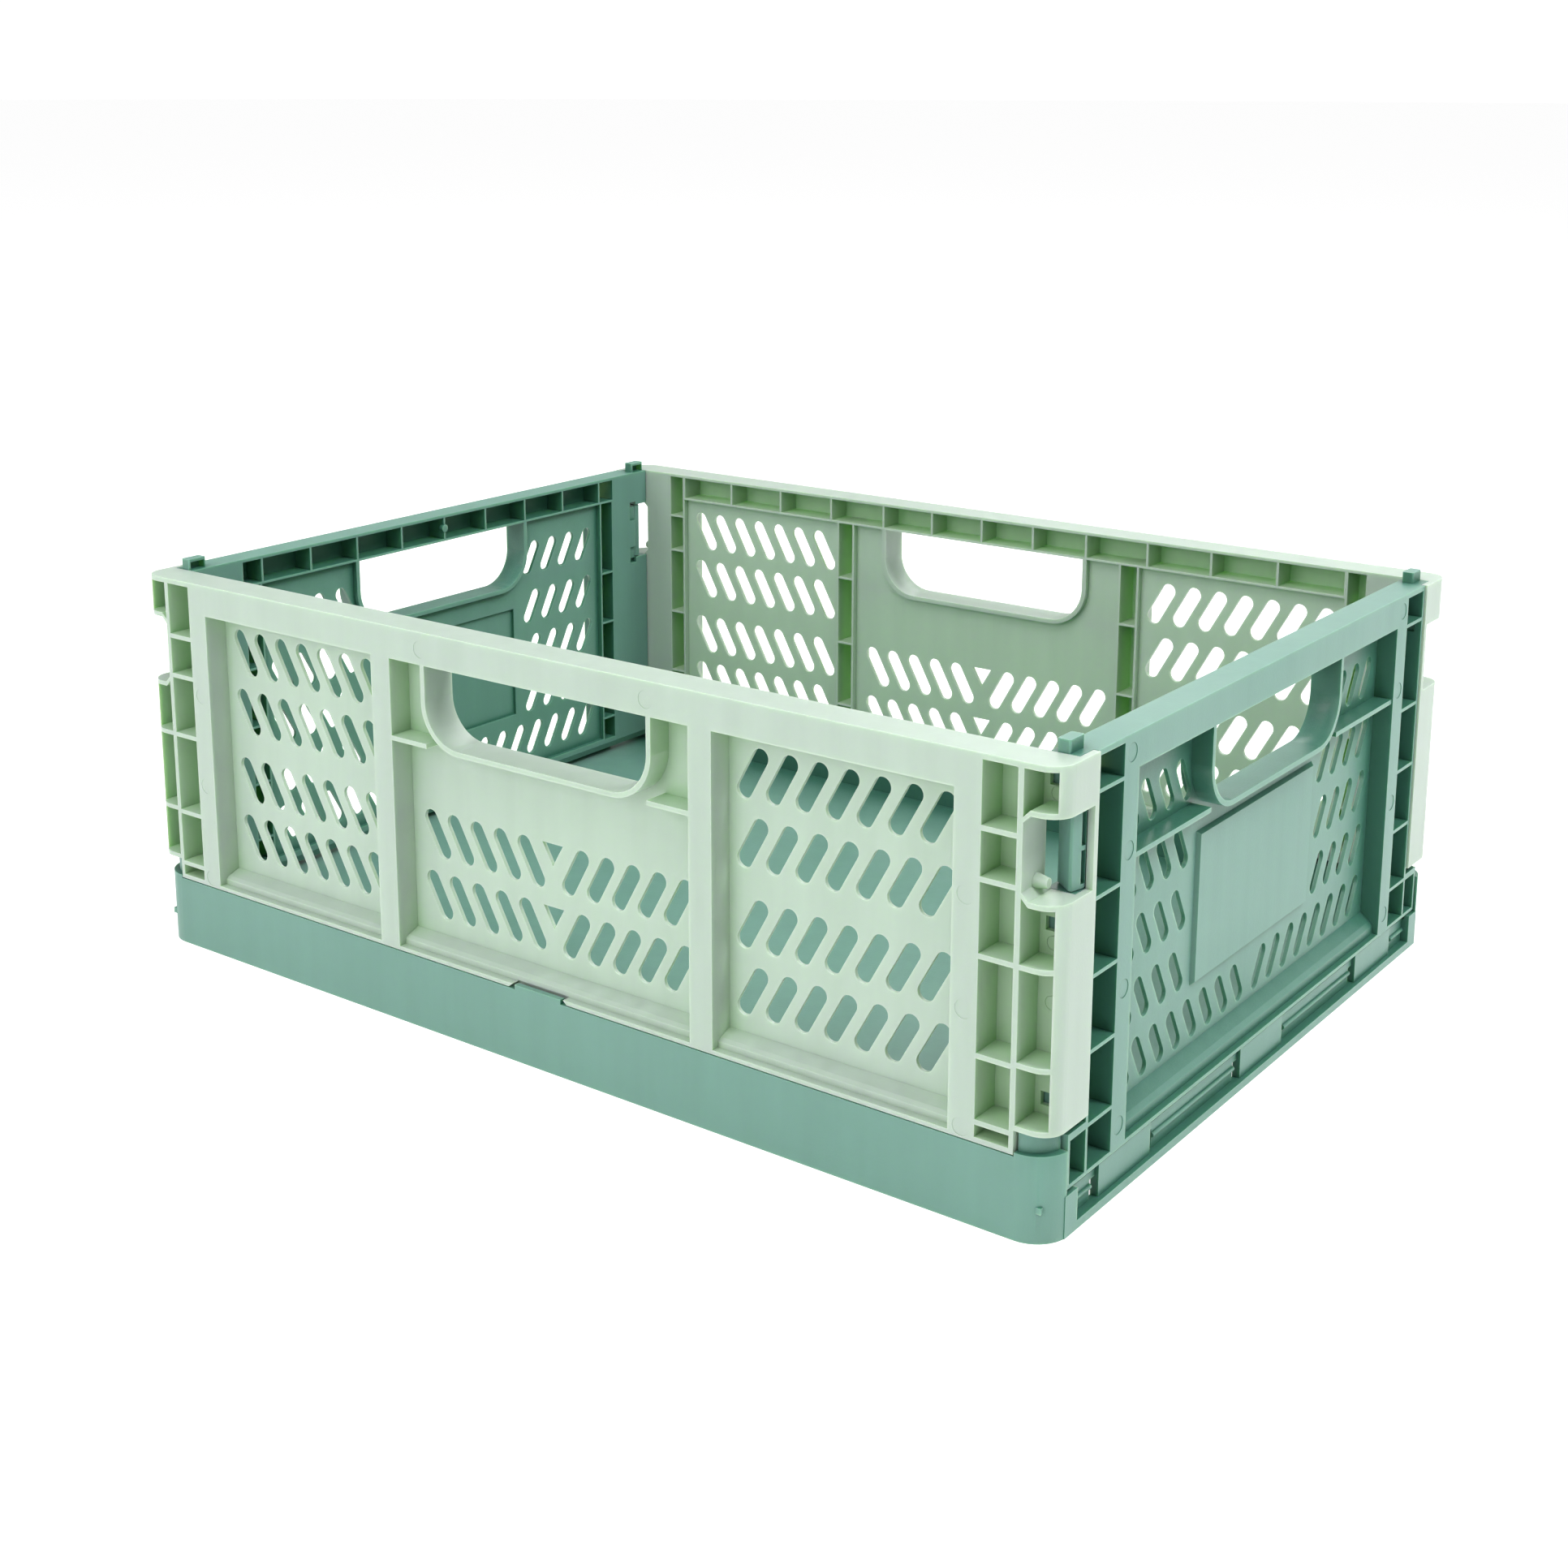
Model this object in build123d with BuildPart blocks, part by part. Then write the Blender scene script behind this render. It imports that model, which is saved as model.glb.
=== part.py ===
from build123d import *
import os

# Collapsible storage crate in five mouldings and four latch tabs.
# X runs along the long side, Y from the front panel to the back, Z up.
# The origin is the middle of the footprint, on the floor. Millimetres.

# ---- overall ----
LENGTH = 476.0
WIDTH = 354.0
RIM_Z = 175.0
WALL = 2.2
RIB = 2.0
THIN = 1.1
WEB = 1.7
TOP_WALL = 1.5
HALF_L = LENGTH / 2
HALF_W = WIDTH / 2

# ---- fold axes: the ends fold first and lie under the long panels ----
END_AXIS_Z = 21.5
END_AXIS_X = HALF_L - 7.5
LONG_AXIS_Z = 37.0
LONG_AXIS_Y = HALF_W - 8.0
PIN_D = 5.0
PIN_CLEAR = 0.05

# ---- long panels (front and back) ----
LONG_T = 16.0
LONG_BOTTOM_Z = 32.3
LONG_FOOT_X = 222.8
FLANGE_BOTTOM_Z = 41.5
FLANGE_T = 2.8
FLANGE_REACH = 25.5
LONG_WEB_DEPTH = 11.0
LONG_RAIL_Z = 161.0
POST_OUT_X = 207.0
POST_IN_X = 196.0
MULLION_OUT_X = 90.3
MULLION_IN_X = 79.3
CELL_DEPTH = 13.6
CORNER_R = 9.0
INNER_RIBS_Z = (60.0, 95.0, 131.0, 151.0)
FOOT_NOTCH_X = 214.8
FOOT_NOTCH_Y = 3.0
FOOT_NOTCH_Z = 40.2

# ---- end panels (left and right) ----
END_T = 13.0
END_FACE_X = HALF_L - 1.0
END_INNER_X = END_FACE_X - END_T
END_HALF_Y = 160.5
END_FOOT_Y = 163.5
END_FOOT_TOP_Z = 38.5
END_BOTTOM_Z = 17.5
END_STEP_Y = 151.0
END_STEP_X = HALF_L - FLANGE_T - 0.3
END_WEB_DEPTH = 8.7
END_RAIL_Z = 161.3
END_POST_OUT_Y = 131.8
END_POST_IN_Y = 120.6
END_STRIP_Y = 149.4
END_RIB = 1.5

# ---- hand holes, one size in all four panels ----
HAND_HALF = 59.0
HAND_BOTTOM_Z = 127.6
HAND_R = 18.0

# ---- slots ----
SLOT_LEAN = 29.0
LONG_SLOT_W = 7.3
LONG_SLOT_RUN = 15.5
LONG_SLOT_ROWS = (143.8, 116.4, 84.1, 56.9)
LONG_BAY_SLOTS_X = [101.3 + 13.6 * i for i in range(7)]
LONG_MID_SLOTS_X = [12.0 + 13.3 * i for i in range(5)]
END_SLOT_W = 6.6
END_SLOT_RUN = 12.8
END_SLOT_ROWS = (140.4, 113.4, 88.5, 63.4, 39.4)
END_SLOTS_Y = [10.6 + 14.0 * i for i in range(8)]

# ---- latch tabs ----
LATCH_LOW_Z = 126.5
LATCH_HIGH_Z = 155.8
LATCH_POCKET_Y = 146.4
LATCH_ROOT_Y = END_STRIP_Y + END_RIB + 0.6
LATCH_AXIS_X = END_INNER_X + 5.6
LATCH_AXIS_Y = 154.4
LATCH_PIN_D = 3.0
LATCH_PIN_LEN = 2.4
NOTCH_LOW_Z = 126.0
NOTCH_HIGH_Z = 156.5
NOTCH_SLOPE = 2.8
FLANGE_EDGE = 2.4
WINDOW_X = (225.5, 232.5)
WINDOWS_Z = (46.8, 111.8, 164.0)
WINDOW_H = 5.2

# ---- base tray ----
BASE_WALL_Z = 31.8
BASE_SKIN = 2.5
BASE_CORNER_R = 14.0
BLOCK_X = LONG_FOOT_X + 0.4
BLOCK_Y = END_FOOT_Y + 1.3
BLOCK_Z = 33.3
NECK_Z = 41.2
FLOOR_LOW_Z = 11.8
FLOOR_Z = 14.3
DECK_Z = 28.4
CHANNEL_Y = 164.2
RIM_LIP_Z = 3.5
PAD_X = HALF_L - 2.0
PAD_Z = 16.2
PAD_HALF = 20.0
PADS_Y = (-118.0, 0.0, 118.0)
PAD_SLOT = 4.0
END_WALL_X = HALF_L - 3.6
STEP_HALF = 12.5
STEP_H = 2.0

# ---- stacking pegs ----
PEG_X = (226.2, 231.3)
PEG_Y = (150.8, 160.4)
PEG_H = 4.8
PEG_ROOM = 0.7

SIDES = (-1, 1)
CORNERS = [(sx, sy) for sx in SIDES for sy in SIDES]


def span(low, high):
    """Middle and length of a stretch."""
    return (low + high) / 2, high - low


def block(x, y, z):
    """A box between two x, two y and two z, added to the part being built."""
    (mx, lx), (my, ly), (mz, lz) = span(*x), span(*y), span(*z)
    return Pos(mx, my, mz) * Box(lx, ly, lz, mode=Mode.PRIVATE)


def cell(a, b):
    """A rectangle from a low to a high in each direction, in the sketch being built."""
    (ma, la), (mb, lb) = span(*a), span(*b)
    with Locations((ma, mb)):
        Rectangle(la, lb)


def hand_hole(grow, rail):
    """Outline of a hand hole, square at the rail and rounded below, grown by a wall."""
    half, low, radius = HAND_HALF + grow, HAND_BOTTOM_Z - grow, HAND_R + grow
    with BuildSketch() as hole:
        with BuildLine():
            Polyline((-half, low + radius), (-half, rail), (half, rail), (half, low + radius))
            RadiusArc((half, low + radius), (half - radius, low), radius)
            Line((half - radius, low), (-half + radius, low))
            RadiusArc((-half + radius, low), (-half, low + radius), radius)
        make_face()
    return hole.sketch


def slots(columns, rows, run, width):
    """Leaning slots on both sides of the middle, leaning away from it at the top."""
    for side in SIDES:
        for column in columns:
            for row in rows:
                with Locations((side * column, row)):
                    SlotCenterToCenter(run, width, rotation=90 - side * SLOT_LEAN)


# ---------------------------------------------------------------- long panel
def long_panel():
    """The front panel. The back one is the same moulding turned round."""
    outer = Plane.XZ.offset(HALF_W)
    inner = Plane.XZ.offset(HALF_W - LONG_T)
    column_1 = (POST_OUT_X, 221.0)
    column_2 = (BLOCK_X, HALF_L - FLANGE_T)
    top = RIM_Z - WALL
    lip_z = LONG_BOTTOM_Z + 1.7
    cells_1 = ((34.3, 39.0), (41.0, 64.0), (66.0, 101.0), (103.0, 129.0), (131.0, 147.5), (149.5, top))
    cells_2 = ((43.5, 65.0), (67.0, 101.0))
    column_2_ends = (103.0, top)
    rail_ribs = (0.0, 30.2, 60.6, 94.5, 128.4, 162.4, POST_IN_X)
    bays = (
        (-POST_IN_X, -MULLION_OUT_X),
        (-MULLION_IN_X, MULLION_IN_X),
        (MULLION_OUT_X, POST_IN_X),
    )
    with BuildPart() as panel:
        # the plate, its foot narrower than its flanged upper part
        with BuildSketch(outer):
            cell((-LONG_FOOT_X, LONG_FOOT_X), (LONG_BOTTOM_Z, RIM_Z))
            cell((-HALF_L, HALF_L), (FLANGE_BOTTOM_Z, RIM_Z))
        extrude(amount=-LONG_T)
        # flanges that wrap round the outside of the end panels
        with BuildSketch(Plane.XY.offset(FLANGE_BOTTOM_Z)):
            for side in SIDES:
                ends = sorted((side * HALF_L, side * (HALF_L - FLANGE_T)))
                cell(ends, (-HALF_W, FLANGE_REACH - HALF_W))
        extrude(amount=RIM_Z - FLANGE_BOTTOM_Z)
        edges = panel.edges().filter_by(Axis.Z).group_by(Axis.Y)[0]
        fillet([e for e in edges if abs(e.center().X) > HALF_L - 1], radius=CORNER_R)

        # open cells beside the posts, and the recessed bays
        with BuildSketch(outer):
            for side in SIDES:
                for z in cells_1[1:]:
                    cell(sorted((side * column_1[0], side * column_1[1])), z)
                for z in cells_2:
                    cell(sorted((side * column_2[0], side * column_2[1])), z)
                # the cells above and below the notch follow its sloping corners
                for rib_z, away in ((NOTCH_LOW_Z - RIB, -1), (NOTCH_HIGH_Z + RIB, 1)):
                    far_z = column_2_ends[away > 0]
                    with BuildLine():
                        Polyline(
                            (side * column_2[0], far_z),
                            (side * column_2[0], rib_z - away * NOTCH_SLOPE),
                            (side * (column_2[0] + NOTCH_SLOPE), rib_z),
                            (side * column_2[1], rib_z),
                            (side * column_2[1], far_z),
                            close=True,
                        )
                    make_face()
        extrude(amount=-CELL_DEPTH, mode=Mode.SUBTRACT)
        with BuildSketch(outer):
            for side in SIDES:
                cell(sorted((side * column_1[0], side * column_1[1])), cells_1[0])
        extrude(amount=FOOT_NOTCH_Y + WALL - LONG_T, mode=Mode.SUBTRACT)
        with BuildSketch(outer):
            for bay in bays:
                cell(bay, (lip_z, LONG_RAIL_Z))
        extrude(amount=-LONG_WEB_DEPTH, mode=Mode.SUBTRACT)

        # hollow back: rail cells, posts, mullions and the shallow side of the bays
        with BuildSketch(inner):
            for side in SIDES:
                for near, far in zip(rail_ribs, rail_ribs[1:]):
                    x = sorted((side * (near + THIN / 2), side * (far - THIN / 2)))
                    cell(x, (LONG_RAIL_Z + THIN, RIM_Z - TOP_WALL))
                levels = (LONG_BOTTOM_Z + 6.0, *INNER_RIBS_Z, RIM_Z - TOP_WALL + THIN / 2)
                for low, high in zip(levels, levels[1:]):
                    z = (low + THIN / 2, high - THIN / 2)
                    cell(sorted((side * (POST_IN_X + THIN), side * (POST_OUT_X - THIN))), z)
                for low, high in zip(levels[:-2], levels[1:-2] + (LONG_RAIL_Z + THIN / 2,)):
                    z = (low + THIN / 2, high - THIN / 2)
                    cell(sorted((side * (MULLION_IN_X + THIN), side * (MULLION_OUT_X - THIN))), z)
        extrude(amount=LONG_T - WALL, mode=Mode.SUBTRACT)
        with BuildSketch(inner):
            for bay in bays:
                cell(bay, (LONG_BOTTOM_Z + 7.0, LONG_RAIL_Z))
        extrude(amount=LONG_T - LONG_WEB_DEPTH - WEB, mode=Mode.SUBTRACT)

        # sloping ledge along the foot of each bay
        for bay in bays:
            with BuildSketch(Plane.YZ.offset(bay[0])):
                with BuildLine():
                    Polyline(
                        (LONG_WEB_DEPTH - HALF_W, lip_z - 0.5),
                        (3.4 - HALF_W, lip_z - 0.5),
                        (3.8 - HALF_W, 36.4),
                        (5.4 - HALF_W, 37.6),
                        (LONG_WEB_DEPTH - HALF_W, 39.6),
                        close=True,
                    )
                make_face()
            extrude(amount=bay[1] - bay[0])

        # hand hole with its deep collar and the shelf ribs beside it
        with BuildSketch(outer):
            add(hand_hole(WALL, LONG_RAIL_Z))
        extrude(amount=-LONG_T)
        with BuildSketch(outer):
            for side in SIDES:
                x = sorted((side * HAND_HALF, side * MULLION_IN_X))
                cell(x, (HAND_BOTTOM_Z - 1.9, HAND_BOTTOM_Z + 0.1))
        extrude(amount=-LONG_WEB_DEPTH)
        with BuildSketch(outer):
            add(hand_hole(0, LONG_RAIL_Z))
        extrude(amount=-LONG_T, mode=Mode.SUBTRACT)

        # leaning slots, with a small triangle where the two hands meet
        with BuildSketch(outer.offset(-LONG_WEB_DEPTH)):
            slots(LONG_BAY_SLOTS_X, LONG_SLOT_ROWS, LONG_SLOT_RUN, LONG_SLOT_W)
            slots(LONG_MID_SLOTS_X, LONG_SLOT_ROWS[2:], LONG_SLOT_RUN, LONG_SLOT_W)
            for row in LONG_SLOT_ROWS[2:]:
                with BuildLine():
                    Polyline((-5.6, row + 10), (5.6, row + 10), (0, row + 0.5), close=True)
                make_face()
        extrude(amount=-WALL - 1, mode=Mode.SUBTRACT)

        # the foot steps up over the tab in the middle of the tray's wall
        with BuildSketch(outer):
            with BuildLine():
                low, high = LONG_BOTTOM_Z - 1, LONG_BOTTOM_Z + STEP_H
                wide, narrow = STEP_HALF + 3.5 + 1, STEP_HALF + 1.0
                Polyline((-wide, low), (wide, low), (narrow, high), (-narrow, high), close=True)
            make_face()
        extrude(amount=-4.5, mode=Mode.SUBTRACT)

        # rounded inner edge of the foot, so that it clears the tray as it folds
        with BuildSketch(Plane.YZ.offset(-LONG_FOOT_X - 1)):
            with BuildLine():
                face = LONG_T - HALF_W
                Polyline(
                    (face + 1, LONG_BOTTOM_Z - 1),
                    (face - 1.9, LONG_BOTTOM_Z - 1),
                    (face - 1.6, LONG_BOTTOM_Z),
                    (face - 0.05, LONG_AXIS_Z),
                    (face + 1, LONG_AXIS_Z),
                    close=True,
                )
            make_face()
        extrude(amount=2 * LONG_FOOT_X + 2, mode=Mode.SUBTRACT)

        # latch notches: through the flange and the corner, all but a thin free edge
        for side in SIDES:
            # room at the foot for the corner of the end panel to swing past
            x = sorted((side * FOOT_NOTCH_X, side * (LONG_FOOT_X + 1)))
            y = (LONG_T - FOOT_NOTCH_Y - HALF_W, LONG_T - HALF_W + 1)
            add(block(x, y, (LONG_BOTTOM_Z - 1, FOOT_NOTCH_Z)), mode=Mode.SUBTRACT)
            with BuildSketch(Plane.XZ.offset(HALF_W + 1)):
                near, slope = BLOCK_X, BLOCK_X + NOTCH_SLOPE
                with BuildLine():
                    Polyline(
                        (side * (HALF_L + 1), NOTCH_LOW_Z),
                        (side * slope, NOTCH_LOW_Z),
                        (side * near, NOTCH_LOW_Z + NOTCH_SLOPE),
                        (side * near, NOTCH_HIGH_Z - NOTCH_SLOPE),
                        (side * slope, NOTCH_HIGH_Z),
                        (side * (HALF_L + 1), NOTCH_HIGH_Z),
                        close=True,
                    )
                make_face()
            extrude(amount=-1 - FLANGE_REACH + FLANGE_EDGE, mode=Mode.SUBTRACT)
            # windows through the back of the end cells
            x = sorted((side * WINDOW_X[0], side * WINDOW_X[1]))
            for z in WINDOWS_Z:
                y = (-HALF_W + 5, -HALF_W + LONG_T + 0.5)
                add(block(x, y, (z, z + WINDOW_H)), mode=Mode.SUBTRACT)
            # stub that the latch tab closes against
            stub = Plane((side * (BLOCK_X - 0.5), -166.8, 130.2), z_dir=(side, 0, 0))
            with BuildSketch(stub):
                Circle(3.0)
            extrude(amount=5.5, taper=12)

        # ejector marks in the end cells, on the rail and on the posts
        with BuildSketch(outer.offset(-CELL_DEPTH)):
            for side in SIDES:
                for z in (85.5, 107.5, 161.2):
                    with Locations((side * 228.9, z)):
                        Circle(2.8)
                        Circle(2.5, mode=Mode.SUBTRACT)
        extrude(amount=-0.5, mode=Mode.SUBTRACT)
        with BuildSketch(outer):
            with Locations((-HAND_HALF - 2, 167.6), (HAND_HALF, 167.6)):
                Circle(3.6)
            for side in SIDES:
                for z in (36.6, 80.9, 123.2):
                    with Locations((side * (POST_IN_X + POST_OUT_X) / 2, z)):
                        Circle(3.6)
        extrude(amount=-0.2, mode=Mode.SUBTRACT)

        # trunnion pins that turn in the tray's corner necks
        for side in SIDES:
            root = (side * LONG_FOOT_X, -LONG_AXIS_Y, LONG_AXIS_Z)
            with BuildSketch(Plane(root, z_dir=(side, 0, 0))):
                Circle(PIN_D / 2)
            extrude(amount=6.0)
    return panel.part


# ---------------------------------------------------------------- end panel
def end_panel():
    """The right end panel. The left one is the same moulding turned round."""
    outer = Plane.YZ.offset(END_FACE_X)
    inner = Plane.YZ.offset(END_INNER_X)
    stepped = Plane.YZ.offset(END_STEP_X)
    top = RIM_Z - WALL
    lip_z = END_BOTTOM_Z + END_RIB
    web_z = END_BOTTOM_Z + 5
    strip_ribs = (36.5, 64.3, 92.6, 121.2, 160.0, top + END_RIB / 2)
    rail_ribs = (0.0, 30.0, 60.0, 90.0, 120.0, 132.0)
    with BuildPart() as panel:
        with BuildSketch(outer):
            cell((-END_STEP_Y, END_STEP_Y), (END_BOTTOM_Z, RIM_Z))
            cell((-END_FOOT_Y, END_FOOT_Y), (END_BOTTOM_Z, END_FOOT_TOP_Z))
        extrude(amount=-END_T)
        with BuildSketch(stepped):
            cell((-END_HALF_Y, END_HALF_Y), (END_BOTTOM_Z, RIM_Z))
        extrude(amount=END_INNER_X - END_STEP_X)

        # open cells beside the posts and at the feet
        with BuildSketch(outer):
            for side in SIDES:
                y = sorted((side * END_POST_OUT_Y, side * END_STRIP_Y))
                cell(y, (lip_z, strip_ribs[0] - END_RIB / 2))
                for low, high in zip(strip_ribs, strip_ribs[1:]):
                    cell(y, (low + END_RIB / 2, high - END_RIB / 2))
                y = sorted((side * (END_STRIP_Y + END_RIB), side * (END_FOOT_Y - END_RIB)))
                cell(y, (lip_z, strip_ribs[0] - END_RIB / 2))
        extrude(amount=-END_T + WALL, mode=Mode.SUBTRACT)
        # the same behind the long panels' flanges
        with BuildSketch(stepped):
            for side in SIDES:
                y = sorted((side * (END_STRIP_Y + END_RIB + 1), side * (END_HALF_Y - END_RIB)))
                for z in ((40.0, 66.0), (68.0, 94.0), (96.0, 122.0), (161.0, top)):
                    cell(y, z)
        extrude(amount=END_INNER_X - END_STEP_X + WALL, mode=Mode.SUBTRACT)
        with BuildSketch(outer):
            cell((-END_POST_IN_Y, END_POST_IN_Y), (lip_z, END_RAIL_Z))
        extrude(amount=-END_WEB_DEPTH, mode=Mode.SUBTRACT)

        # hollow back: rail cells, posts and the shallow side of the web
        with BuildSketch(inner):
            for side in SIDES:
                for near, far in zip(rail_ribs, rail_ribs[1:]):
                    y = sorted((side * (near + THIN / 2), side * (far - THIN / 2)))
                    cell(y, (END_RAIL_Z + THIN, RIM_Z - TOP_WALL))
                y = sorted((side * (END_POST_IN_Y + THIN), side * (END_POST_OUT_Y - THIN)))
                levels = (END_BOTTOM_Z + 6, *strip_ribs[:-2], END_RAIL_Z + THIN / 2)
                for low, high in zip(levels, levels[1:]):
                    cell(y, (low + THIN / 2, high - THIN / 2))
        extrude(amount=END_T - WALL, mode=Mode.SUBTRACT)
        with BuildSketch(inner):
            cell((-END_POST_IN_Y, END_POST_IN_Y), (web_z + 2, END_RAIL_Z))
        extrude(amount=END_T - END_WEB_DEPTH - WEB, mode=Mode.SUBTRACT)

        # sloping ledge along the foot of the web
        with BuildSketch(Plane.XZ.offset(END_POST_IN_Y)):
            with BuildLine():
                Polyline(
                    (END_FACE_X - END_WEB_DEPTH, lip_z - 0.5),
                    (END_FACE_X - 2.6, lip_z - 0.5),
                    (END_FACE_X - 2.9, 22.6),
                    (END_FACE_X - 4.3, 24.6),
                    (END_FACE_X - END_WEB_DEPTH, 28.2),
                    close=True,
                )
            make_face()
        extrude(amount=-2 * END_POST_IN_Y)

        # raised label plate, thin enough to leave the matching recess inside
        with BuildSketch(outer.offset(-END_WEB_DEPTH)):
            cell((-54, 54), (53.5, 116.5))
        extrude(amount=1.6, taper=40)
        with BuildSketch(inner.offset(END_T - END_WEB_DEPTH - WEB)):
            cell((-52, 52), (55.5, 114.5))
        extrude(amount=1.4, mode=Mode.SUBTRACT)

        # hand hole with its deep collar and the shelf ribs beside it
        with BuildSketch(outer):
            add(hand_hole(WALL, END_RAIL_Z))
        extrude(amount=-END_T)
        with BuildSketch(outer.offset(-0.6)):
            for side in SIDES:
                y = sorted((side * HAND_HALF, side * END_POST_IN_Y))
                cell(y, (HAND_BOTTOM_Z - 0.4, HAND_BOTTOM_Z + 1.6))
        extrude(amount=-END_WEB_DEPTH)
        with BuildSketch(outer):
            add(hand_hole(0, END_RAIL_Z))
        extrude(amount=-END_T, mode=Mode.SUBTRACT)

        with BuildSketch(outer.offset(-END_WEB_DEPTH)):
            slots(END_SLOTS_Y[4:], END_SLOT_ROWS, END_SLOT_RUN, END_SLOT_W)
            slots(END_SLOTS_Y[:4], END_SLOT_ROWS[-1:], END_SLOT_RUN, END_SLOT_W)
        extrude(amount=-WALL - 1, mode=Mode.SUBTRACT)

        # bevelled inner edge of the foot, so that it clears the floor as it folds
        with BuildSketch(Plane.XZ.offset(END_FOOT_Y + 1)):
            with BuildLine():
                Polyline(
                    (END_INNER_X - 1, END_BOTTOM_Z - 1),
                    (END_AXIS_X - 4.0, END_BOTTOM_Z - 1),
                    (END_AXIS_X - 4.0, END_BOTTOM_Z),
                    (END_INNER_X, END_AXIS_Z),
                    (END_INNER_X - 1, END_AXIS_Z),
                    close=True,
                )
            make_face()
        extrude(amount=-2 * END_FOOT_Y - 2, mode=Mode.SUBTRACT)

        for side in SIDES:
            # room for the latch tab, with a bore above and below for its pin
            y = sorted((side * (END_STRIP_Y + END_RIB), side * (END_HALF_Y + 1)))
            z = (NOTCH_LOW_Z, NOTCH_HIGH_Z)
            add(block((END_INNER_X - 1, END_FACE_X + 1), y, z), mode=Mode.SUBTRACT)
            z = (NOTCH_LOW_Z - LATCH_PIN_LEN - 0.1, NOTCH_HIGH_Z + LATCH_PIN_LEN + 0.1)
            with BuildSketch(Plane.XY.offset(z[0])):
                with Locations((LATCH_AXIS_X, side * LATCH_AXIS_Y)):
                    Circle(LATCH_PIN_D / 2 + PIN_CLEAR)
            extrude(amount=z[1] - z[0], mode=Mode.SUBTRACT)

            # slits and shallow pockets beside the tab, on the inside
            y = sorted((side * LATCH_POCKET_Y, side * (END_STRIP_Y + END_RIB + 0.4)))
            for z in ((NOTCH_LOW_Z - 2.8, NOTCH_LOW_Z - 0.4), (NOTCH_HIGH_Z - 1.3, NOTCH_HIGH_Z + 1.8)):
                add(block((END_INNER_X - 1, END_INNER_X + 2.6), y, z), mode=Mode.SUBTRACT)
            for z in ((NOTCH_LOW_Z - 0.4, NOTCH_LOW_Z + 6.3), (NOTCH_HIGH_Z - 8.8, NOTCH_HIGH_Z - 1.3)):
                add(block((END_INNER_X - 1, END_INNER_X + 1), y, z), mode=Mode.SUBTRACT)
            y = sorted((side * (END_STRIP_Y - 1), side * (END_STRIP_Y + END_RIB + 0.4)))
            z = (NOTCH_HIGH_Z - 3, NOTCH_HIGH_Z + 1.8)
            add(block((END_INNER_X + 2, END_STEP_X - 1), y, z), mode=Mode.SUBTRACT)

            # stacking peg with rounded corners, hollow towards the inside of the crate
            y = sorted((side * PEG_Y[0], side * PEG_Y[1]))
            peg = block(PEG_X, y, (RIM_Z - 1, RIM_Z + PEG_H))
            peg = peg.fillet(0.7, peg.edges().filter_by(Axis.Z))
            add(peg)
            y = sorted((side * (PEG_Y[0] + 0.9), side * (PEG_Y[1] - 0.9)))
            hollow = block((PEG_X[0] - 1, PEG_X[1] - 1.4), y, (RIM_Z, RIM_Z + PEG_H - 1.3))
            add(hollow, mode=Mode.SUBTRACT)

            # trunnion pin that turns in the tray's corner block
            root = (END_AXIS_X, side * END_FOOT_Y, END_AXIS_Z)
            with BuildSketch(Plane(root, z_dir=(0, side, 0))):
                Circle(PIN_D / 2)
            extrude(amount=5.5)

        # gate mark in the middle of the rail, and ejector marks on the posts
        with BuildSketch(inner.offset(2)):
            with Locations((0, 168.0)):
                Circle(1.9)
        extrude(amount=-2.4)
        with BuildSketch(outer):
            for side in SIDES:
                for z in (27.0, 80.0, 132.0, 168.0):
                    with Locations((side * (END_POST_IN_Y + END_POST_OUT_Y) / 2, z)):
                        Circle(3.6)
        extrude(amount=-0.2, mode=Mode.SUBTRACT)
    return panel.part


# ---------------------------------------------------------------- latch tab
def latch_tab():
    """The right end's back latch tab, upright in its cut-out."""
    tip_y = END_HALF_Y + 0.3
    with BuildPart() as tab:
        with BuildSketch(Plane.XY.offset(LATCH_LOW_Z)):
            with BuildLine():
                Polyline(
                    (END_INNER_X + 1.6, LATCH_ROOT_Y),
                    (END_INNER_X + 0.8, LATCH_ROOT_Y + 0.8),
                    (END_INNER_X + 0.8, LATCH_ROOT_Y + 3.4),
                    (END_STEP_X - 2.6, tip_y),
                    (END_STEP_X - 1.4, tip_y),
                    (END_STEP_X, tip_y - 5.2),
                    (END_STEP_X, LATCH_ROOT_Y + 2.6),
                    (END_STEP_X - 0.8, LATCH_ROOT_Y),
                    close=True,
                )
            make_face()
        extrude(amount=LATCH_HIGH_Z - LATCH_LOW_Z)
        fillet(tab.edges().filter_by(Axis.Z).group_by(Axis.Y)[-1], radius=0.5)
        # two pockets, one above the other, in the face that the thumb presses
        middle = (LATCH_LOW_Z + LATCH_HIGH_Z) / 2
        for z in ((LATCH_LOW_Z + 1.6, middle - 0.8), (middle + 0.8, LATCH_HIGH_Z - 1.6)):
            pocket = block((END_STEP_X - 3.0, END_STEP_X + 1), (154.2, 156.6), z)
            add(pocket, mode=Mode.SUBTRACT)
        for plane in (Plane.XY.offset(LATCH_HIGH_Z), Plane.XY.offset(LATCH_LOW_Z)):
            with BuildSketch(plane):
                with Locations((LATCH_AXIS_X, LATCH_AXIS_Y)):
                    Circle(LATCH_PIN_D / 2)
            reach = LATCH_PIN_LEN + 0.5
            extrude(amount=reach if plane.origin.Z > middle else -reach)
    return tab.part


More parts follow.
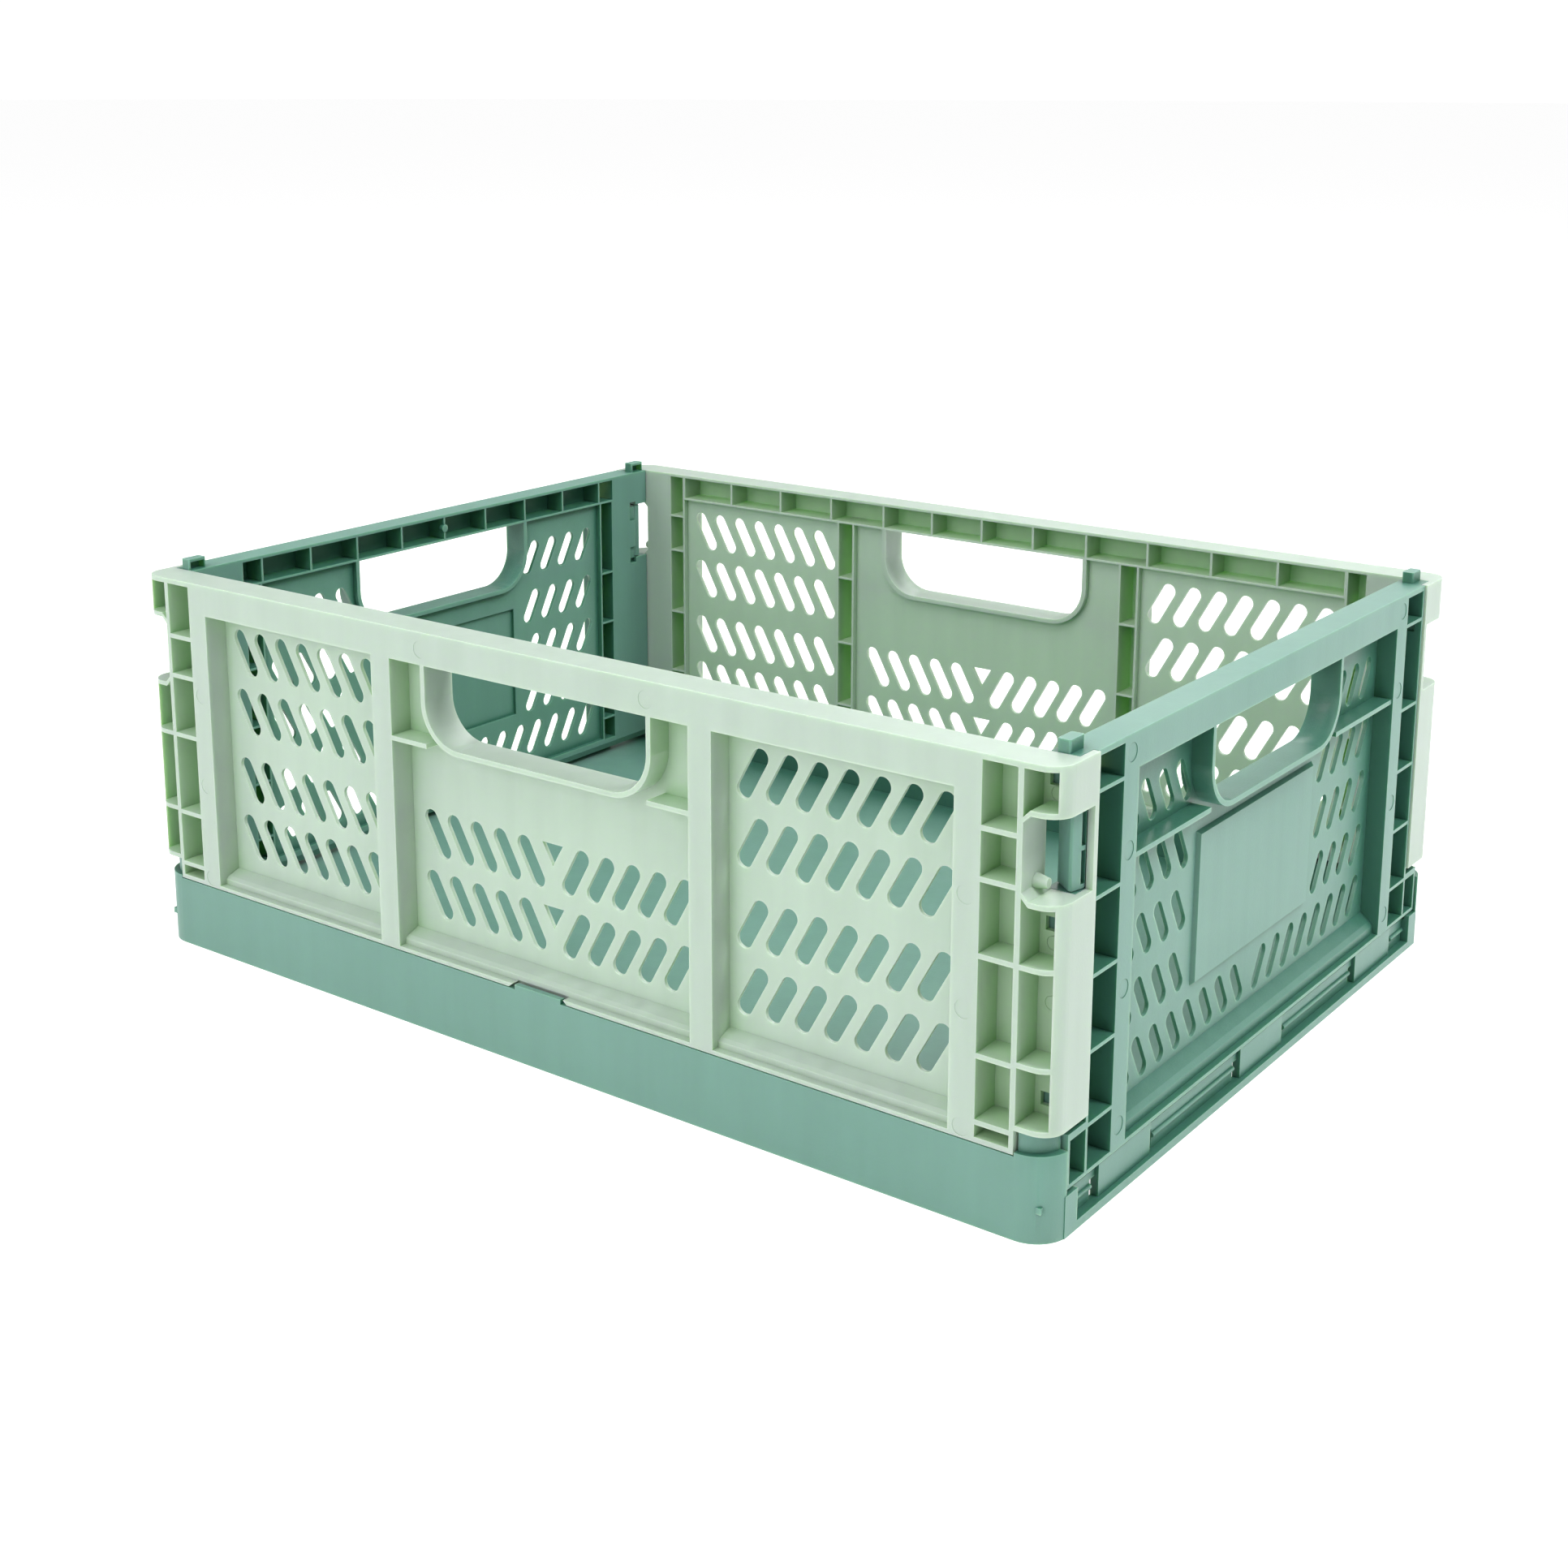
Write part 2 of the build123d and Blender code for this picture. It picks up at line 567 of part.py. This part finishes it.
# ---------------------------------------------------------------- base tray
def base_tray():
    """Tray that carries all four panels: floor, channelled long walls, corner blocks."""
    footprint = Plane.XY
    with BuildPart() as base:
        # outer skin
        with BuildSketch(footprint):
            RectangleRounded(LENGTH, WIDTH, BASE_CORNER_R)
            offset(amount=-BASE_SKIN, mode=Mode.SUBTRACT)
        extrude(amount=BASE_WALL_Z)
        for side in SIDES:
            x = sorted((side * (BLOCK_X - 1), side * (HALF_L + 1)))
            y = (-BLOCK_Y, BLOCK_Y)
            add(block(x, y, (RIM_LIP_Z, BASE_WALL_Z + 1)), mode=Mode.SUBTRACT)

        # floor, with ribs below it
        floor_x = END_WALL_X - 1
        add(block((-floor_x, floor_x), (-HALF_W + 2, HALF_W - 2), (FLOOR_LOW_Z, FLOOR_Z)))
        rib_z = (0, FLOOR_LOW_Z + 0.5)
        for y in (-120, -80, -40, 0, 40, 80, 120):
            add(block((-floor_x, floor_x), (y - RIB / 2, y + RIB / 2), rib_z))
        for x in (-200, -150, -100, -50, 0, 50, 100, 150, 200):
            add(block((x - RIB / 2, x + RIB / 2), (-CHANNEL_Y, CHANNEL_Y), rib_z))

        # long walls: deck and inner wall make a channel, with ribs across it
        for side in SIDES:
            y = sorted((side * CHANNEL_Y, side * (HALF_W - BASE_SKIN + 0.2)))
            add(block((-BLOCK_X, BLOCK_X), y, (DECK_Z - WALL, DECK_Z)))
            y_in = sorted((side * CHANNEL_Y, side * (CHANNEL_Y + WALL)))
            add(block((-BLOCK_X, BLOCK_X), y_in, (FLOOR_LOW_Z, DECK_Z)))
            for x in (-200, -150, -100, -50, 0, 50, 100, 150, 200):
                add(block((x - RIB / 2, x + RIB / 2), y, (rib_z[0], DECK_Z - WALL + 0.5)))
            # tab in the middle of the wall's top edge
            y = sorted((side * (HALF_W - BASE_SKIN), side * HALF_W))
            add(block((-STEP_HALF, STEP_HALF), y, (BASE_WALL_Z - 1, BASE_WALL_Z + STEP_H)))

        # short ends: low rim, recessed wall with a bead, and pads under the end panel
        for side in SIDES:
            x = sorted((side * (END_WALL_X - 1.6), side * END_WALL_X))
            y = (-BLOCK_Y - 1, BLOCK_Y + 1)
            add(block(x, y, (1.6, FLOOR_Z)))
            add(block(sorted((x[0], x[1], side * (HALF_L - 1)))[::2], y, (1.6, RIM_LIP_Z)))
            bead = Plane((side * END_WALL_X, -BLOCK_Y, 9.0), z_dir=(0, 1, 0))
            with BuildSketch(bead):
                Circle(1.1)
            extrude(amount=2 * BLOCK_Y)
            for middle in PADS_Y:
                x_pad = sorted((side * (END_WALL_X - 1.6), side * PAD_X))
                y = (middle - PAD_HALF, middle + PAD_HALF)
                add(block(x_pad, y, (1.6, FLOOR_Z)))
                x_lip = sorted((side * (PAD_X - 1.7), side * PAD_X))
                add(block(x_lip, y, (FLOOR_Z - 1, PAD_Z)))
                for edge in SIDES:
                    y = sorted((middle + edge * PAD_HALF, middle + edge * (PAD_HALF + PAD_SLOT)))
                    x_slot = sorted((side * (END_WALL_X - 5), side * PAD_X))
                    add(block(x_slot, y, (RIM_LIP_Z, FLOOR_LOW_Z - 0.4)), mode=Mode.SUBTRACT)
            for edge in SIDES:
                x_pad = sorted((side * (END_WALL_X - 1.6), side * HALF_L))
                y = sorted((edge * 157.0, edge * (BLOCK_Y + 1)))
                add(block(x_pad, y, (0, FLOOR_Z)))
                x_lip = sorted((side * (HALF_L - 2.4), side * HALF_L))
                add(block(x_lip, y, (FLOOR_Z - 1, PAD_Z)))

        # corner blocks, and necks that carry the long panels' pins
        with BuildSketch(footprint):
            RectangleRounded(LENGTH, WIDTH, BASE_CORNER_R)
            with BuildSketch(footprint, mode=Mode.INTERSECT):
                for sx, sy in CORNERS:
                    x = sorted((sx * BLOCK_X, sx * HALF_L))
                    cell(x, sorted((sy * BLOCK_Y, sy * HALF_W)))
        extrude(amount=BLOCK_Z)
        neck_x = HALF_L - FLANGE_T - 0.4
        neck_y = LONG_AXIS_Y - (NECK_Z - LONG_AXIS_Z)
        with BuildSketch(Plane.XY.offset(BLOCK_Z - 1)):
            RectangleRounded(2 * neck_x, 2 * (HALF_W - 2.3), BASE_CORNER_R - 3)
            with BuildSketch(Plane.XY.offset(BLOCK_Z - 1), mode=Mode.INTERSECT):
                for sx, sy in CORNERS:
                    x = sorted((sx * (BLOCK_X + 0.4), sx * neck_x))
                    cell(x, sorted((sy * neck_y, sy * HALF_W)))
        extrude(amount=NECK_Z - BLOCK_Z + 1)
        inner_tops = base.edges().filter_by(Axis.X).group_by(Axis.Z)[-1]
        inner_tops = [e for e in inner_tops if abs(abs(e.center().Y) - neck_y) < 0.1]
        fillet(inner_tops, radius=NECK_Z - LONG_AXIS_Z - 0.05)

        for sx, sy in CORNERS:
            # bores for both pairs of pins
            with BuildSketch(Plane((END_AXIS_X * sx, sy * (BLOCK_Y - 1), END_AXIS_Z), z_dir=(0, sy, 0))):
                Circle(PIN_D / 2 + PIN_CLEAR)
            extrude(amount=5.5, mode=Mode.SUBTRACT)
            with BuildSketch(Plane((sx * BLOCK_X, sy * LONG_AXIS_Y, LONG_AXIS_Z), z_dir=(sx, 0, 0))):
                Circle(PIN_D / 2 + PIN_CLEAR)
            extrude(amount=6.0, mode=Mode.SUBTRACT)
            # socket below for the peg of the crate underneath
            x = sorted((sx * (PEG_X[0] - PEG_ROOM), sx * (PEG_X[1] + PEG_ROOM)))
            y = sorted((sy * (PEG_Y[0] - PEG_ROOM), sy * (PEG_Y[1] + PEG_ROOM)))
            add(block(x, y, (-1, PEG_H + 1)), mode=Mode.SUBTRACT)
    return base.part


def save(piece, name):
    """Label a finished piece and write it to its own STEP file."""
    piece.label = name
    export_step(piece, f"parts/{name}.step")


os.makedirs("parts", exist_ok=True)

front = long_panel()
save(front, "front_panel")
save(front.rotate(Axis.Z, 180), "back_panel")

right = end_panel()
save(right, "right_end_panel")
save(right.rotate(Axis.Z, 180), "left_end_panel")

right_back_tab = latch_tab()
right_front_tab = right_back_tab.mirror(Plane.XZ)
save(right_back_tab, "latch_tab_right_back")
save(right_front_tab, "latch_tab_right_front")
save(right_back_tab.rotate(Axis.Z, 180), "latch_tab_left_front")
save(right_front_tab.rotate(Axis.Z, 180), "latch_tab_left_back")

save(base_tray(), "base_tray")
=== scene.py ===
import math
import bpy
from mathutils import Matrix, Vector

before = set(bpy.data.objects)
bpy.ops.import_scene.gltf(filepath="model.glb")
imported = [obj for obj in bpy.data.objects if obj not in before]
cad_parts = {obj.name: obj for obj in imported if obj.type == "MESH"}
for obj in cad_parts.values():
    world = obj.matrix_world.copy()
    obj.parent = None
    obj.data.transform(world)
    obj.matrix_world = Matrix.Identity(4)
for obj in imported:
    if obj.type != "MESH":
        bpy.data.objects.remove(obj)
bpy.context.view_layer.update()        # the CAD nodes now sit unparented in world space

# ---- camera, in metres and degrees; azimuth 0 looks along +Y ----
SENSOR = 36.0
LENS = 50.234
CAMERA_AT = Vector((0.5709, -0.7825, 0.3995))
CAMERA_AZIMUTH = -36.443
CAMERA_DOWN = 12.796
CAMERA_ROLL = -0.135
CAMERA_SHIFT_Y = -0.14
CLIP_START = 0.01

# ---- studio: name, place, target, size and watts of each soft square lamp ----
LAMPS = (
    ("key", (1.6, 0.3, 2.3), (0, 0, 0.08), 1.0, 60),
    ("fill", (-0.4, -2.6, 1.3), (0, 0, 0.1), 2.0, 44),
    ("top", (0.1, -0.7, 1.6), (0, 0.1, 0.1), 0.8, 12),
    ("back", (-0.4, 2.0, 1.8), (0, 0, 0.1), 1.8, 26),
)
SKY_STRENGTH = 0.5
FLOOR_HALF = 30.0
FLOOR_GREY = 0.62
FLOOR_GLOW = 0.66
DOME_RADIUS = 28
DOME_GLOW = 1.05

# ---- plastic colours, linear; the second of each pair tints the random clouding and is also the painted shade mixed into folds between ribs ----
MINT = (0.345, 0.415, 0.368)
MINT_CLOUD_AND_SHADE = (0.31, 0.47, 0.28)
SAGE = (0.128, 0.258, 0.212)
SAGE_CLOUD_AND_SHADE = (0.035, 0.13, 0.09)
MINT_NODES = ("front_panel", "back_panel")

# ---- painted shade in folds, found by ambient occlusion: reach in metres, openness where the painted shade colour is full and gone, and its largest share ----
MINT_PAINTED_SHADE = (0.025, 0.2, 0.7)
SAGE_PAINTED_SHADE = (0.05, 0.75, 0.99)
PAINTED_SHADE_MIX = 0.95

# ---- plastic surface ----
CLOUD_SCALE = 9.0
CLOUD_MIX = 0.18
FLOW_SCALE = 110.0
FLOW_STRETCH = 0.08
FLOW_TONE = (0.97, 1.03)
GRAIN_SCALE = 900.0
ROUGHNESS = (0.30, 0.42)
NOISE_RANGE = (0.3, 0.7)

# ---- rounding of moulded edges, in metres and degrees ----
WELD_DISTANCE = 0.00001
EDGE_WIDTH = 0.0004
EDGE_ANGLE = 35


def camera():
    """Looks down a little from the front right corner, at the photograph's angle."""
    data = bpy.data.cameras.new("camera")
    data.sensor_width = SENSOR
    data.lens = LENS
    data.shift_y = CAMERA_SHIFT_Y
    data.clip_start = CLIP_START
    obj = bpy.data.objects.new("camera", data)
    bpy.context.scene.collection.objects.link(obj)
    azimuth, down, roll = (math.radians(a) for a in (CAMERA_AZIMUTH, CAMERA_DOWN, CAMERA_ROLL))
    forward = Vector((
        math.sin(azimuth) * math.cos(down),
        math.cos(azimuth) * math.cos(down),
        -math.sin(down),
    ))
    right = Vector((math.cos(azimuth), -math.sin(azimuth), 0))
    up = right.cross(forward)
    level = Matrix((right, up, -forward)).transposed()
    turn = Matrix.Rotation(-roll, 3, "Z")
    obj.matrix_world = Matrix.Translation(CAMERA_AT) @ (level @ turn).to_4x4()
    bpy.context.scene.camera = obj


def lamp(name, at, target, size, power):
    """A soft square lamp."""
    data = bpy.data.lights.new(name, "AREA")
    data.shape = "SQUARE"
    data.size = size
    data.energy = power
    obj = bpy.data.objects.new(name, data)
    bpy.context.scene.collection.objects.link(obj)
    way = Vector(target) - Vector(at)
    turn = way.to_track_quat("-Z", "Y").to_matrix().to_4x4()
    obj.matrix_world = Matrix.Translation(at) @ turn


def stage_paint(name, grey, specular, glow):
    """A plain grey that also glows white, for the floor and the dome."""
    material = bpy.data.materials.new(name)
    material.use_nodes = True
    shader = material.node_tree.nodes["Principled BSDF"]
    shader.inputs["Base Color"].default_value = (grey, grey, grey, 1)
    shader.inputs["Roughness"].default_value = 0.85
    shader.inputs["Specular IOR Level"].default_value = specular
    shader.inputs["Emission Color"].default_value = (1, 1, 1, 1)
    shader.inputs["Emission Strength"].default_value = glow
    return material


def studio():
    """White floor and surroundings, even sky light and soft lamps."""
    mesh = bpy.data.meshes.new("floor")
    half = FLOOR_HALF
    corners = [(-half, -half, 0), (half, -half, 0), (half, half, 0), (-half, half, 0)]
    mesh.from_pydata(corners, [], [(0, 1, 2, 3)])
    floor = bpy.data.objects.new("floor", mesh)
    bpy.context.scene.collection.objects.link(floor)
    mesh.materials.append(stage_paint("floor", FLOOR_GREY, 0.1, FLOOR_GLOW))
    # a glowing white dome that only the camera sees, so the surroundings stay white
    bpy.ops.mesh.primitive_uv_sphere_add(segments=32, ring_count=16, radius=DOME_RADIUS)
    dome = bpy.context.object
    dome.name = "dome"
    for ray in ("diffuse", "glossy", "transmission", "shadow", "volume_scatter"):
        setattr(dome, "visible_" + ray, False)
    dome.data.materials.append(stage_paint("dome", 0, 0, DOME_GLOW))
    world = bpy.data.worlds.new("studio")
    world.use_nodes = True
    sky = world.node_tree.nodes["Background"]
    sky.inputs["Color"].default_value = (1.0, 1.0, 1.0, 1)
    sky.inputs["Strength"].default_value = SKY_STRENGTH
    bpy.context.scene.world = world
    bpy.context.scene.view_settings.view_transform = "Standard"
    for settings in LAMPS:
        lamp(*settings)


class Nodes:
    """Short way to add and join shader nodes in one material."""

    def __init__(self, material):
        self.tree = material.node_tree

    def add(self, kind, **inputs):
        """A new node; in an input's name an underscore stands for a space."""
        node = self.tree.nodes.new(kind)
        for name, value in inputs.items():
            self.put(node.inputs[name.replace("_", " ")], value)
        return node

    def put(self, socket, value):
        """Sets a socket, or links it where the value is another node's output."""
        if isinstance(value, bpy.types.NodeSocket):
            self.tree.links.new(value, socket)
        else:
            socket.default_value = value

    def remap(self, value, source, target):
        """The value, carried from one low and high to another."""
        node = self.add(
            "ShaderNodeMapRange", Value=value,
            From_Min=source[0], From_Max=source[1], To_Min=target[0], To_Max=target[1],
        )
        return node.outputs["Result"]

    def mix(self, share, first, second):
        """Two colours mixed; a share of 1 gives the second."""
        node = self.add("ShaderNodeMix")
        node.data_type = "RGBA"
        for socket, value in zip((0, 6, 7), (share, first, second)):
            self.put(node.inputs[socket], value)
        return node.outputs[2]


def plastic(name, surface, cloud_and_shade, seed, painted_shade):
    """Moulded polypropylene: clouding, flow lines, fine grain, and painted shade that darkens
    folds found by ambient occlusion.
    """
    reach, shut_at, open_from = painted_shade
    material = bpy.data.materials.new(name)
    material.use_nodes = True
    n = Nodes(material)
    shader = material.node_tree.nodes["Principled BSDF"]
    place = n.add("ShaderNodeTexCoord").outputs["Object"]
    spot = n.add(
        "ShaderNodeMapping", Vector=place, Location=(seed, seed * 0.7, seed * 0.3)
    ).outputs["Vector"]
    cloud = n.add(
        "ShaderNodeTexNoise", Vector=spot, Scale=CLOUD_SCALE, Detail=4.0, Roughness=0.55
    ).outputs["Fac"]
    # flow lines left by the melt run upward and fade in and out
    tall = n.add("ShaderNodeMapping", Vector=spot, Scale=(1.0, 1.0, FLOW_STRETCH))
    flow = n.add(
        "ShaderNodeTexNoise", Vector=tall.outputs["Vector"], Scale=FLOW_SCALE, Detail=2.0
    ).outputs["Fac"]
    clouded = [(1 - CLOUD_MIX) * a + CLOUD_MIX * b for a, b in zip(surface, cloud_and_shade)]
    colour = n.mix(cloud, (*surface, 1), (*clouded, 1))
    # painted shade: where ambient occlusion finds folds and recesses between ribs, the colour is
    # darkened toward the shade colour
    shade = n.add("ShaderNodeAmbientOcclusion", Distance=reach)
    shade.samples = 8
    shade.only_local = True
    painted_shade_share = n.remap(shade.outputs["AO"], (shut_at, open_from), (PAINTED_SHADE_MIX, 0.0))
    colour = n.mix(painted_shade_share, colour, (*cloud_and_shade, 1))
    streak = n.remap(flow, NOISE_RANGE, FLOW_TONE)
    tone = n.add("ShaderNodeHueSaturation", Color=colour, Value=streak)
    n.put(shader.inputs["Base Color"], tone.outputs["Color"])
    n.put(shader.inputs["Roughness"], n.remap(cloud, NOISE_RANGE, ROUGHNESS))
    grain = n.add("ShaderNodeTexNoise", Vector=spot, Scale=GRAIN_SCALE, Detail=2.0)
    relief = n.add("ShaderNodeMath")
    relief.operation = "MULTIPLY_ADD"
    for socket, value in enumerate((flow, 1.5, grain.outputs["Fac"])):
        n.put(relief.inputs[socket], value)
    bump = n.add("ShaderNodeBump", Height=relief.outputs[0], Strength=0.12, Distance=0.0003)
    n.put(shader.inputs["Normal"], bump.outputs["Normal"])
    shader.inputs["IOR"].default_value = 1.49
    shader.inputs["Specular IOR Level"].default_value = 0.35
    shader.inputs["Subsurface Weight"].default_value = 0.6
    shader.inputs["Subsurface Radius"].default_value = (0.7, 1.0, 0.5)
    shader.inputs["Subsurface Scale"].default_value = 0.005
    return material


def finish_node(name, material):
    """Softly rounded edges and the moulded plastic on one CAD node."""
    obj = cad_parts[name]
    obj.data.materials.clear()
    obj.data.materials.append(material)
    weld = obj.modifiers.new("weld", "WELD")
    weld.merge_threshold = WELD_DISTANCE
    bevel = obj.modifiers.new("edges", "BEVEL")
    bevel.width = EDGE_WIDTH
    bevel.segments = 2
    bevel.limit_method = "ANGLE"
    bevel.angle_limit = math.radians(EDGE_ANGLE)
    bevel.harden_normals = True
    bevel.use_clamp_overlap = True


camera()
studio()
mint = plastic("mint_plastic", MINT, MINT_CLOUD_AND_SHADE, 1.0, MINT_PAINTED_SHADE)
sage = plastic("sage_plastic", SAGE, SAGE_CLOUD_AND_SHADE, 5.0, SAGE_PAINTED_SHADE)
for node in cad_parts:
    finish_node(node, mint if node in MINT_NODES else sage)
